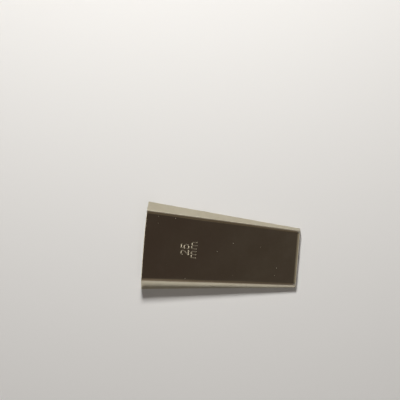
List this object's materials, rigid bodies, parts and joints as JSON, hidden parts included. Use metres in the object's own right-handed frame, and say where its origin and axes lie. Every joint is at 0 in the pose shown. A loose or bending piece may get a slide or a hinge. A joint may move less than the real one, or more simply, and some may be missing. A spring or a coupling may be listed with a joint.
{
  "type": "bias tape maker",
  "caption": "Tapered folded-sheet metal sleeve with an inner folding guide, an awl slot and a swinging wire pull handle, which folds a fabric strip into tape as it is pulled through.",
  "frame": {"origin": "middle of the sleeve's box, on the plane of its in-turned lips", "axes": "+X from the wide inlet to the narrow outlet, +Z out of the plain face"},
  "size_m": [0.073, 0.0416, 0.009],
  "materials": {
    "sleeve_plate": "bright nickel plate on folded steel sheet",
    "guide_plate": "bright nickel plate on thin folded steel sheet",
    "rivet_metal": "nickel-plated steel rivet",
    "handle_wire": "nickel-plated drawn steel wire"
  },
  "bodies": {
    "body": {"body_shell": "sleeve_plate", "folding_guide": "guide_plate", "guide_rivets": "rivet_metal"},
    "handle": {"pull_handle": "handle_wire"}
  },
  "joints": [
    {"name": "handle_swing", "type": "hinge", "parent": "body", "child": "handle", "pos_m": [-0.02875, 0, 0.00411], "axis": [0, 1, 0], "range_deg": [-5, 180]}
  ]
}
